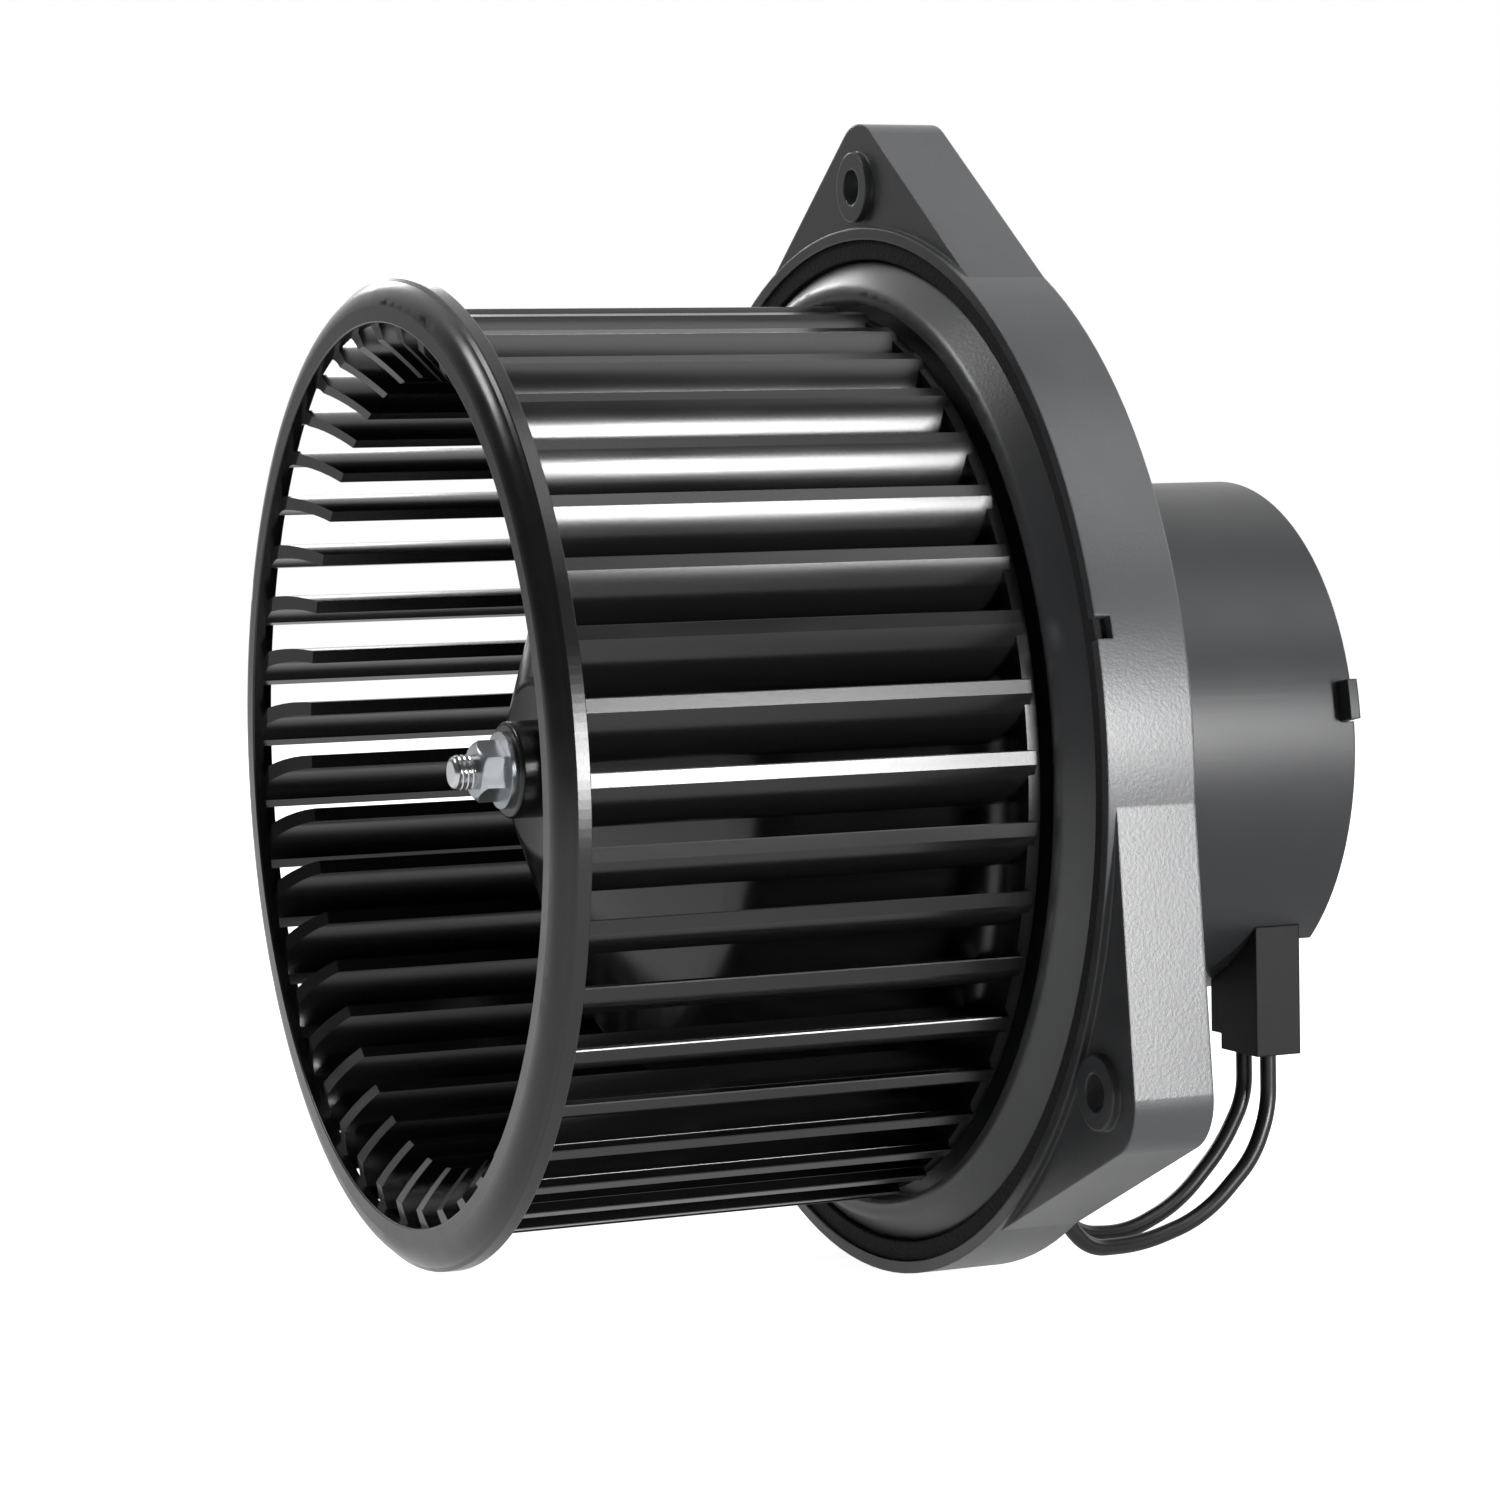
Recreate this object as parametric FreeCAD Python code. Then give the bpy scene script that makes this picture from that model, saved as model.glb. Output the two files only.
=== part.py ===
import FreeCAD, Part
import math
import os

# Blower motor: a squirrel-cage fan wheel on the shaft of a small brushed motor,
# held in a round moulded flange with three screw lugs.
# Millimetres. The shaft lies along X, the air inlet is at -X, the motor's tail at +X.
# x = 0 is the plane of the screw pads that meet the air box, and +Z runs through one lug.

V = FreeCAD.Vector
ORIGIN = V(0, 0, 0)
AXIS = V(1, 0, 0)

# Fan wheel, one moulding
tip_d = 134.0
tip_lap = 1.0
ring_overhang = 5.5
ring_width = 4.5
ring_wall = 1.7
ring_round = 4.0
wheel_length = 73.2
blade_count = 43
blade_depth = 9.0
blade_wall = 2.1
blade_inlet_angle = 0.0
blade_outlet_angle = 62.0
blade_phase = 6.8
flare_depth = 5.6
flare_length = 6.5
disc_wall = 1.8
disc_rim = 11.0
dome_base_round = 8.0
dome_shoulder_d = 93.0
dome_shoulder_round = 12.0
dome_rise = 32.0
crown_d = 26.0
crown_round = 3.0
crown_rise = 16.0
hub_od = 14.5
hub_rise = 4.5
hub_length = 15.0
wheel_gap = 1.0

# Flange, one moulding
tip_clearance = 1.4
collar_width = 6.6
collar_rise = 2.8
collar_slope = 4.2
collar_drop = 1.6
collar_wall = 1.8
seal_width = 3.0
flange_depth = 13.5
skirt_wall = 1.8
web_wall = 2.5
web_drop = 3.0
lug_count = 3
lug_rise = 17.6
lug_slope = 35.8
lug_tip_radius = 8.0
lug_drop = 1.2
screw_offset = 6.2
lug_hole_d = 5.4
pad_d = 10.6
rib_wall = 1.6
rib_height = 4.0
rib_step = 20
rib_gap = (135, 165)
sleeve_gap = 1.6
sleeve_wall = 2.4
sleeve_setback = 2.5
boss_d = 11.0
drain_width = 3.2
drain_wall = 0.6
drain_angle = 74.5
seal_drop = 0.6
seal_clearance = 0.05

# Motor shell
can_od = 80.0
can_wall = 1.6
can_depth_in_wheel = 30.0
can_corner = 5.0
cap_recess = 0.8
cap_wall = 1.6
cap_ear_count = 3
cap_ear_width = 6.0
cap_ear_reach = 3.2
cap_ear_phase = 80.0
cap_vent_count = 4
cap_vent_d = 5.2
can_vent_count = 6
can_vent_d = 6.4
cup_od = 22.0
cup_depth = 5.0
cup_flare = 1.5
shaft_hole_gap = 0.9
shell_clearance = 0.05

# Rotor
shaft_d = 8.0
shaft_end_d = 5.0
shaft_stub = 8.6
shaft_step = 0.5
running_clearance = 0.03
hub_clearance = 0.02
nut_across_flats = 8.0
nut_height = 4.0
washer_od = 11.5
washer_wall = 1.0
core_length = 41.5
coil_gap = 4.3
slot_count = 12
slot_mouth = 2.4
slot_width_share = 0.188
slot_depth_share = 0.38
tooth_lip = 1.6
coil_overhang = 10.0
coil_clearance = 0.15
coil_round = 3.0
spider_wall = 1.2
spider_drop = 0.4
commutator_d = 23.0
commutator_length = 13.8
commutator_gap = 3.0
riser_start = 0.6
riser_width = 1.6
riser_height = 0.8
bar_slot = 0.6
bar_slot_depth = 0.8
thrust_wall = 1.0
thrust_rim = 2.5
thrust_clearance = 0.1
end_gap = 0.4

# Stator
magnet_share = 0.25
magnet_length = 52.0
magnet_arc = 132.0
air_gap = 0.7
magnet_clearance = 0.02
magnet_clip_wall = 1.0
magnet_clip_share = 0.8
bearing_length = 9.0
bearing_clearance = 0.3
retainer_wall = 0.6
retainer_od = 34.0
retainer_heel = 1.6
retainer_lean = 2.4
retainer_clearance = 0.25

# Brush gear
card_wall = 2.4
card_bore_gap = 2.5
brush_width = 6.0
brush_height = 7.0
brush_length = 13.0
brush_gap = 0.2
brush_setback = 2.4
brush_hollow = 0.6
holder_wall = 1.2
holder_drop = 2.0
holder_clearance = 0.1
spring_wire = 0.7
spring_pitch = 2.2

# Motor mounting
bracket_wall = 1.5
bracket_width = 10.0
bracket_start = 12.0
ear_count = 3
ear_phase = 60.0
ear_wall = 2.0
ear_width = 18.0
mount_offset = 14.0
isolator_od = 16.0
isolator_neck = 10.0
isolator_flange = 3.0
motor_screw_d = 4.2
screw_head_d = 9.0
screw_head_height = 3.0
screw_point_gap = 1.8
screw_point_length = 0.8
screw_clearance = 0.1
pilot_floor = 1.2
recess_floor = 1.4
recess_width = 1.1

# Electrical connection
block_length = 7.6
block_width = 14.0
block_drop = 7.6
block_tail_gap = 3.6
block_side_share = 0.55
block_shoulder_share = 0.62
key_width = 3.0
key_depth = 2.4
latch_width = 6.0
latch_rise = 5.0
latch_height = 6.5
latch_reach = 1.0
tongue_width = 8.0
tongue_top_share = 0.65
tongue_length = 6.5
tongue_setback = 0.6
tongue_clearance = 0.2
terminal_wall = 0.8
terminal_width = 3.6
terminal_height = 9.0
terminal_pitch = 4.6
terminal_stagger = 1.6
lead_d = 2.5
outer_sag = 26.6
outer_stub = 9.0
inner_sag = 24.2
inner_stub = 7.4
socket_length = 13.0
socket_width = 18.0
socket_height = 12.0
socket_wall = 1.6
socket_sole = 3.0
socket_inset = 20.2
socket_y = -31.2
lead_spread = 5.0
lead_entry_x = 16.0
pin_wall = 0.8
pin_width = 2.8
pin_setback = 2.5

# The loops of the leads between their two ends: how far along, how far across, how low
outer_loop = [(0.09, 0.15, 0.60), (0.33, 0.36, 0.90), (0.63, 0.63, 1.0), (0.88, 0.88, 0.98)]
inner_loop = [(0.13, 0.20, 0.60), (0.36, 0.42, 0.92), (0.62, 0.68, 1.06), (0.86, 0.90, 1.02)]

# Radii and widths that follow from the ones above
ring_bore_r = tip_d / 2 - tip_lap
dome_base_r = tip_d / 2 - disc_rim
collar_r = tip_d / 2 + tip_clearance + collar_width
collar_bore_r = tip_d / 2 + tip_clearance
flange_r = collar_r + seal_width + skirt_wall
screw_circle_r = flange_r + screw_offset
can_r = can_od / 2
bore_r = can_r - can_wall
ball_r = cup_od / 2 - can_wall - bearing_clearance
sleeve_bore_r = can_r + sleeve_gap
mount_circle_r = can_r + mount_offset
magnet_wall = can_r * magnet_share
core_r = bore_r - magnet_wall - air_gap
slot_wide = core_r * slot_width_share
slot_depth = core_r * slot_depth_share
block_y = -can_r * block_side_share
block_shoulder_z = -can_r * block_shoulder_share
tongue_top_z = -can_r * tongue_top_share
socket_floor_z = socket_inset - flange_r

# Planes along the shaft that several pieces share
wheel_rear = -collar_rise - wheel_gap
wheel_front = wheel_rear - wheel_length
disc_front = wheel_rear - disc_wall
crown_x = disc_front - dome_rise
hub_root = crown_x - crown_rise
hub_front = hub_root - hub_rise
hub_back = hub_front + hub_length
web_front = web_drop
web_rear = web_drop + web_wall
can_front = wheel_rear - can_depth_in_wheel
front_seat = can_front - cup_depth + can_wall
front_washer = front_seat + bearing_length + thrust_clearance
core_front = front_washer + thrust_wall + coil_gap + coil_overhang
core_rear = core_front + core_length
commutator_front = core_rear + coil_overhang + commutator_gap
commutator_rear = commutator_front + commutator_length
rear_washer = commutator_rear + end_gap
rear_seat = rear_washer + thrust_wall + thrust_clearance + bearing_length
cap_front = rear_seat - cup_depth
can_tail = cap_front + cap_wall + cap_recess
card_front = commutator_front - card_wall - brush_gap


def tube(x0, x1, outer, inner=0.0):
    """A round bar or pipe along the shaft, from x0 to x1."""
    solid = Part.makeCylinder(outer, x1 - x0, V(x0, 0, 0), AXIS)
    if inner > 0:
        solid = solid.cut(Part.makeCylinder(inner, x1 - x0, V(x0, 0, 0), AXIS))
    return solid


def peg(x0, x1, radius, y, z):
    """A round bar beside the shaft and parallel to it."""
    return Part.makeCylinder(radius, x1 - x0, V(x0, y, z), AXIS)


def block(x0, x1, y0, y1, z0, z1):
    return Part.makeBox(x1 - x0, y1 - y0, z1 - z0, V(x0, y0, z0))


def turned(shape, degrees):
    """A copy turned about the shaft; 0 is up and 90 faces -Y."""
    copy = shape.copy()
    copy.rotate(ORIGIN, AXIS, degrees)
    return copy


def ring_of(shape, count, start=0.0):
    return [turned(shape, start + i * 360.0 / count) for i in range(count)]


def rounded_edges(points, radii, closed):
    """Straight runs through the points, joined by tangent arcs; a radius of 0 is a sharp corner."""
    n = len(points)
    entries = []
    exits = []
    middles = []
    for i, corner in enumerate(points):
        if radii[i] == 0 or (not closed and i in (0, n - 1)):
            entries.append(corner)
            exits.append(corner)
            middles.append(None)
            continue
        back = (points[i - 1] - corner).normalize()
        ahead = (points[(i + 1) % n] - corner).normalize()
        half_turn = (math.pi - back.getAngle(ahead)) / 2
        reach = radii[i] * math.tan(half_turn)
        inward = (back + ahead).normalize()
        sag = radii[i] / math.cos(half_turn) - radii[i]
        entries.append(corner + back * reach)
        exits.append(corner + ahead * reach)
        middles.append(corner + inward * sag)
    edges = []
    for i in range(n):
        if middles[i] is not None:
            edges.append(Part.Arc(entries[i], middles[i], exits[i]).toShape())
        if i < n - 1 or closed:
            nxt = entries[(i + 1) % n]
            if exits[i].distanceToPoint(nxt) > 1e-6:
                edges.append(Part.LineSegment(exits[i], nxt).toShape())
    return edges


def revolved(points, radii=None):
    """A turned solid from a closed outline of (x, radius) corners."""
    radii = radii or [0.0] * len(points)
    corners = [V(x, 0, r) for x, r in points]
    wire = Part.Wire(rounded_edges(corners, radii, True))
    return Part.Face(wire).revolve(ORIGIN, AXIS, 360)


def mitred(points, wall):
    """The line parallel to an open (x, radius) line, a wall to its right."""
    shifted = []
    for i, (x, r) in enumerate(points):
        normals = []
        for a, b in ((i - 1, i), (i, i + 1)):
            if a >= 0 and b < len(points):
                dx = points[b][0] - points[a][0]
                dr = points[b][1] - points[a][1]
                size = math.hypot(dx, dr)
                normals.append((dr / size, -dx / size))
        nx = sum(n[0] for n in normals)
        nr = sum(n[1] for n in normals)
        scale = wall * len(normals) / (nx * nx + nr * nr)
        shifted.append((x + nx * scale, r + nr * scale))
    return shifted


def formed_sheet(points, radii, wall):
    """A turned sheet of one thickness, drawn along an open (x, radius) line."""
    other = mitred(points, wall)
    other_radii = []
    for i, radius in enumerate(radii):
        if radius == 0:
            other_radii.append(0.0)
            continue
        ax = points[i][0] - points[i - 1][0]
        ar = points[i][1] - points[i - 1][1]
        bx = points[i + 1][0] - points[i][0]
        br = points[i + 1][1] - points[i][1]
        turns_right = ax * br - ar * bx < 0
        other_radii.append(max(radius - wall, 0.0) if turns_right else radius + wall)
    return revolved(points + other[::-1], list(radii) + other_radii[::-1])


# Fan wheel

def blade_face():
    """Section of one blade: a circular arc that leans further from the radius as it nears its tip."""
    tip_r = tip_d / 2
    root_r = tip_r - blade_depth
    inlet = math.radians(blade_inlet_angle)
    outlet = math.radians(blade_outlet_angle)
    spread = tip_r * math.sin(outlet) - root_r * math.sin(inlet)
    bend = (tip_r ** 2 - root_r ** 2) / (2 * spread)
    cy = root_r - bend * math.sin(inlet)
    cz = -bend * math.cos(inlet)
    centre = math.hypot(cy, cz)
    at_root = math.acos((centre ** 2 + bend ** 2 - root_r ** 2) / (2 * centre * bend))
    at_tip = math.acos((centre ** 2 + bend ** 2 - tip_r ** 2) / (2 * centre * bend))
    sweep = at_tip - at_root

    def on(radius, share):
        angle = inlet + sweep * share
        return V(0, cy + radius * math.sin(angle), cz + radius * math.cos(angle))

    back = bend + blade_wall / 2
    front = bend - blade_wall / 2
    edges = [
        Part.Arc(on(back, 0), on(back, 0.5), on(back, 1)).toShape(),
        Part.LineSegment(on(back, 1), on(front, 1)).toShape(),
        Part.Arc(on(front, 1), on(front, 0.5), on(front, 0)).toShape(),
        Part.LineSegment(on(front, 0), on(back, 0)).toShape(),
    ]
    return Part.Face(Part.Wire(edges))


def make_blades():
    start = wheel_front + ring_wall / 2
    face = blade_face()
    face.translate(V(start, 0, 0))
    blade = face.extrude(V(disc_front + disc_wall / 2 - start, 0, 0))
    root_r = tip_d / 2 - blade_depth
    # the ring's bore stays clear, and behind it the blades are cut back to a cone
    flare = revolved([
        (wheel_front - 1, 0),
        (wheel_front - 1, ring_bore_r),
        (wheel_front + ring_wall, ring_bore_r),
        (wheel_front + ring_wall, root_r + flare_depth),
        (wheel_front + ring_wall + flare_length, root_r - 1),
        (wheel_front + ring_wall + flare_length, 0),
    ])
    return ring_of(blade.cut(flare), blade_count, blade_phase)


def make_fan_wheel():
    """Front ring, blades, domed back disc and hub, moulded in one."""
    tip_r = tip_d / 2
    ring_r = tip_r + ring_overhang
    ring = revolved([
        (wheel_front, ring_bore_r),
        (wheel_front, ring_r),
        (wheel_front + ring_width, ring_r),
        (wheel_front + ring_width, ring_r - ring_wall),
        (wheel_front + ring_wall, ring_r - ring_wall),
        (wheel_front + ring_wall, ring_bore_r),
    ], [0.3, ring_round, 0.4, 0, ring_round - ring_wall, 0])
    dome_line = [
        (disc_front, tip_r),
        (disc_front, dome_base_r),
        (crown_x, dome_shoulder_d / 2),
        (hub_root, crown_d / 2),
        (hub_root, shaft_d / 2 + hub_clearance),
    ]
    # the line runs inwards, so the wall lies behind it on the motor's side
    bends = [0, crown_round, dome_shoulder_round, dome_base_round, 0]
    disc = formed_sheet(dome_line[::-1], bends, disc_wall)
    hub = revolved([
        (hub_front, shaft_d / 2 + hub_clearance),
        (hub_front, hub_od / 2),
        (hub_back, hub_od / 2),
        (hub_back, shaft_d / 2 + hub_clearance),
    ], [0, 0.6, 0.6, 0])
    wheel = ring.fuse(make_blades() + [disc, hub])
    return wheel.removeSplitter()


def make_hub_washer():
    return tube(hub_front - washer_wall, hub_front, washer_od / 2, shaft_end_d / 2 + hub_clearance)


def make_hub_nut():
    """Hexagon nut, its outer corners chamfered."""
    seat = hub_front - washer_wall
    across_corners = nut_across_flats / math.cos(math.radians(30))
    corners = []
    for i in range(7):
        angle = math.radians(60 * i)
        corners.append(V(seat - nut_height, across_corners / 2 * math.sin(angle),
                         across_corners / 2 * math.cos(angle)))
    prism = Part.Face(Part.makePolygon(corners)).extrude(V(nut_height, 0, 0))
    chamfer = across_corners / 2 - nut_across_flats / 2 * 0.96
    rounding = revolved([
        (seat - nut_height, 0),
        (seat - nut_height, across_corners / 2 - chamfer),
        (seat - nut_height + chamfer, across_corners / 2),
        (seat, across_corners / 2),
        (seat, 0),
    ])
    bore = tube(seat - nut_height, seat, shaft_end_d / 2 + hub_clearance)
    return prism.common(rounding).cut(bore)


# Rotating assembly inside the motor

def make_shaft():
    """Ground steel shaft, stepped down where the nut goes on."""
    tip = hub_front - shaft_stub
    tail = rear_seat - thrust_clearance
    step = hub_front + shaft_step
    return revolved([
        (tip, 0),
        (tip, shaft_end_d / 2),
        (step, shaft_end_d / 2),
        (step, shaft_d / 2),
        (tail, shaft_d / 2),
        (tail, 0),
    ], [0, 0.8, 0, 0.4, 0.8, 0])


def slot_tool(x0, x1, shrink):
    """One winding slot, narrow at its mouth; shrink gives the coil that lies in it."""
    wide_top = core_r - tooth_lip - shrink
    wide_bottom = core_r - slot_depth + shrink
    wide = slot_wide / 2 - shrink
    slot = block(x0, x1, -wide, wide, wide_bottom, wide_top)
    if shrink == 0:
        slot = slot.fuse(block(x0, x1, -slot_mouth / 2, slot_mouth / 2, wide_bottom, core_r + 1))
    return slot


def make_armature_core():
    """Stack of slotted steel laminations, pressed on the shaft."""
    body = tube(core_front, core_rear, core_r, shaft_d / 2 + hub_clearance)
    return body.cut(ring_of(slot_tool(core_front, core_rear, 0), slot_count)).removeSplitter()


def make_windings():
    """Enamelled copper coils: a bar in each slot and a rounded bundle past each end of the core."""
    bundle_top = core_r - tooth_lip - coil_clearance
    bundle_foot = shaft_d / 2 + spider_wall + coil_clearance * 2
    front = core_front - spider_wall
    rear = core_rear + spider_wall
    coils = ring_of(slot_tool(front - 0.5, rear + 0.5, coil_clearance), slot_count)
    heads = []
    for face, side in ((front, -1), (rear, 1)):
        far = face + side * (coil_overhang - spider_wall)
        heads.append(revolved([
            (face, bundle_foot),
            (face, bundle_top),
            (far, bundle_top - coil_round),
            (far, bundle_foot),
        ], [0, coil_round / 2, coil_round, coil_round]))
    return heads[0].fuse([heads[1]] + coils).removeSplitter()


def make_spider(x0):
    """Insulating star between the core's end and the coils."""
    plate = tube(x0, x0 + spider_wall, core_r - spider_drop, shaft_d / 2 + hub_clearance)
    return plate.cut(ring_of(slot_tool(x0, x0 + spider_wall, 0), slot_count)).removeSplitter()


def make_commutator():
    """Copper bars on a moulded sleeve, with a saw cut between bars and a riser to the coils."""
    top = commutator_d / 2
    foot = shaft_d / 2 + hub_clearance
    start = commutator_front - commutator_gap + riser_start
    step = start + riser_width
    sleeve = revolved([
        (start, foot),
        (start, top + riser_height),
        (step, top + riser_height),
        (step, top),
        (commutator_rear, top),
        (commutator_rear, foot),
    ], [0, 0.3, 0.3, 0, 0.4, 0])
    cut = block(start - 1, commutator_rear + 1, -bar_slot / 2, bar_slot / 2,
                top - bar_slot_depth, top + riser_height + 1)
    return sleeve.cut(ring_of(cut, slot_count, 180.0 / slot_count))


def make_thrust_washer(x0):
    return tube(x0, x0 + thrust_wall, shaft_d / 2 + thrust_rim, shaft_d / 2 + hub_clearance)


# Motor shell and stator

def ear_slots(width, reach):
    """Boxes at the three places where the tail cap's ears cross the shell's rim."""
    tool = block(cap_front, can_tail + 1, -width / 2, width / 2, bore_r - 0.5, reach)
    return ring_of(tool, cap_ear_count, cap_ear_phase)


def connector_notch(x0, clearance):
    """The way through the shell's rim for the connector's tongue."""
    half = tongue_width / 2 + clearance
    return block(x0, can_tail + 1, block_y - half, block_y + half, -can_r - 1, tongue_top_z + clearance)


def make_motor_can():
    """Deep-drawn steel cup, its closed end towards the wheel with a cup for the bearing."""
    line = [
        (can_front - cup_depth, shaft_d / 2 + shaft_hole_gap),
        (can_front - cup_depth, cup_od / 2),
        (can_front, cup_od / 2 + cup_flare),
        (can_front, can_r),
        (can_tail, can_r),
    ]
    can = formed_sheet(line, [0, 2.0, 1.0, can_corner, 0], can_wall)
    vent = peg(can_front - 1, can_front + can_wall + 1, can_vent_d / 2, 0, (cup_od / 2 + can_r) / 2)
    vents = ring_of(vent, can_vent_count, 180.0 / can_vent_count)
    notch = connector_notch(can_tail - block_length - block_tail_gap, tongue_clearance)
    slots = ear_slots(cap_ear_width + 2 * shell_clearance, can_r + 1)
    return can.cut(vents + slots + [notch]).removeSplitter()


def make_tail_cap():
    """Pressed steel end plate, set in the tail with three ears, with a cup for the rear bearing."""
    outer = bore_r - shell_clearance
    rear = cap_front + cap_wall
    cup_r = cup_od / 2
    outline = [
        (rear, outer),
        (rear, cup_r + cup_flare),
        (rear + cup_depth, cup_r),
        (rear + cup_depth, 0.0),
        (rear + cup_depth - cap_wall, 0.0),
        (rear + cup_depth - cap_wall, cup_r - cap_wall),
        (cap_front, cup_r + cup_flare - cap_wall),
        (cap_front, outer),
    ]
    cap = revolved(outline, [0, 1.0, 2.0, 0, 0, 0.6, 1.4, 0])
    ears = []
    for slot in ear_slots(cap_ear_width, can_r + cap_ear_reach):
        ears.append(slot.common(tube(cap_front, rear, can_r + cap_ear_reach, bore_r - 0.4)))
    cap = cap.fuse(ears).cut(connector_notch(cap_front - 1, tongue_clearance))
    hole = peg(cap_front - 1, rear + 1, cap_vent_d / 2, 0, (cup_r + can_r) / 2)
    return cap.cut(ring_of(hole, cap_vent_count, 180.0 / cap_vent_count)).removeSplitter()


def make_bearing(x0):
    """Self-aligning bush of sintered bronze: a ball zone with a plain bore."""
    middle = x0 + bearing_length / 2
    ball = Part.makeSphere(ball_r, V(middle, 0, 0))
    zone = tube(x0, x0 + bearing_length, ball_r + 1, shaft_d / 2 + running_clearance)
    return ball.common(zone)


def make_retainer(flat_x, side):
    """Spring washer that holds the bearing in its cup; side is the way that its dish leans."""
    line = [
        (flat_x, retainer_od / 2),
        (flat_x, cup_od / 2 + retainer_heel),
        (flat_x + side * retainer_lean, ball_r + retainer_clearance),
    ]
    wall = retainer_wall if side < 0 else -retainer_wall
    return revolved(line + mitred(line, wall)[::-1])


def make_magnet(up):
    """Ferrite arc, against the inside of the shell."""
    middle = (core_front + core_rear) / 2
    pipe = tube(middle - magnet_length / 2, middle + magnet_length / 2,
                bore_r - magnet_clearance, bore_r - magnet_wall)
    wedge_r = can_r * 2
    half = math.radians(magnet_arc / 2)
    corners = [
        V(middle - magnet_length, 0, 0),
        V(middle - magnet_length, wedge_r * math.sin(half), wedge_r * math.cos(half)),
        V(middle - magnet_length, 0, wedge_r * 3),
        V(middle - magnet_length, -wedge_r * math.sin(half), wedge_r * math.cos(half)),
        V(middle - magnet_length, 0, 0),
    ]
    wedge = Part.Face(Part.makePolygon(corners)).extrude(V(2 * magnet_length, 0, 0))
    return turned(pipe.common(wedge), 0 if up else 180)


def make_magnet_clips():
    """Two spring strips that push the magnets apart, one on each side."""
    middle = (core_front + core_rear) / 2
    start = middle - magnet_length * magnet_clip_share / 2
    end = middle + magnet_length * magnet_clip_share / 2
    half_gap = math.radians((180 - magnet_arc) / 2)
    inner = bore_r - magnet_wall * 0.75
    edge = inner * math.sin(half_gap) - magnet_clip_wall / 2
    back = tube(start, end, bore_r - magnet_clearance, bore_r - magnet_clip_wall)
    clip = back.common(block(start, end, -edge, edge, 0, can_r))
    for y in (-edge, edge - magnet_clip_wall):
        clip = clip.fuse(block(start, end, y, y + magnet_clip_wall, inner, can_r))
    clip = clip.common(tube(start, end, bore_r - magnet_clearance))
    return ring_of(clip.removeSplitter(), 2, 90.0)


# Brush gear

def brush_seat():
    """Lowest and highest axial plane of the brushes."""
    return commutator_front + brush_setback, commutator_front + brush_setback + brush_height


def make_brush_card():
    """Moulded card across the tail of the shell, with two boxes for the brushes."""
    plate = tube(card_front, card_front + card_wall, bore_r - shell_clearance,
                 commutator_d / 2 + card_bore_gap)
    low, high = brush_seat()
    inner_x0 = low - holder_clearance
    inner_x1 = high + holder_clearance
    half = brush_width / 2 + holder_clearance
    top = bore_r - holder_drop
    foot = commutator_d / 2 + card_bore_gap
    holders = []
    voids = []
    for angle in (0, 180):
        box = block(card_front, inner_x1 + holder_wall, -half - holder_wall, half + holder_wall, foot, top)
        holders.append(turned(box, angle))
        voids.append(turned(block(inner_x0, inner_x1, -half, half, foot - 1, top - holder_wall), angle))
    return plate.fuse(holders).cut(voids).removeSplitter()


def make_brush(angle):
    """Carbon brush, its foot hollowed to the commutator."""
    low, high = brush_seat()
    foot = commutator_d / 2 + brush_gap
    body = block(low, high, -brush_width / 2, brush_width / 2, foot - brush_hollow, foot + brush_length)
    return turned(body.cut(tube(low - 1, high + 1, foot)), angle)


def make_brush_spring(angle):
    """Round wire spring in the box behind a brush."""
    low, high = brush_seat()
    start = commutator_d / 2 + brush_gap + brush_length
    end = bore_r - holder_drop - holder_wall
    radius = brush_width / 2 - spring_wire
    middle = (low + high) / 2
    rise = end - start - spring_wire
    helix = Part.makeHelix(spring_pitch, rise, radius)
    wire_edge = helix.Edges[0]
    start_at = wire_edge.valueAt(wire_edge.FirstParameter)
    heading = wire_edge.tangentAt(wire_edge.FirstParameter)
    section = Part.Wire(Part.makeCircle(spring_wire / 2, start_at, heading))
    coil = Part.Wire(helix.Edges).makePipeShell([section], True, True)
    coil.translate(V(middle, 0, start + spring_wire / 2))
    return turned(coil, angle)


# Flange

def lug_shape(inset, x0, x1):
    """The three pointed lugs as one prism set, each side moved in by inset."""
    slope = math.radians(lug_slope)
    fall = math.tan(slope)
    tip = flange_r + lug_rise - inset / math.cos(slope)
    # each side runs down to the point of it that lies nearest to the shaft
    half = tip * fall / (1 + fall ** 2)
    low = tip - half * fall
    corners = [V(x0, 0, tip), V(x0, half, low), V(x0, 0, low - half), V(x0, -half, low)]
    radii = [max(lug_tip_radius - inset, 0.4), 0, 0, 0]
    wire = Part.Wire(rounded_edges(corners, radii, True))
    return ring_of(Part.Face(wire).extrude(V(x1 - x0, 0, 0)), lug_count)


def flange_prism(inset, x0, x1):
    """The flange's outline, moved in by inset, as a prism."""
    return tube(x0, x1, flange_r - inset).fuse(lug_shape(inset, x0, x1)).removeSplitter()


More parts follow.
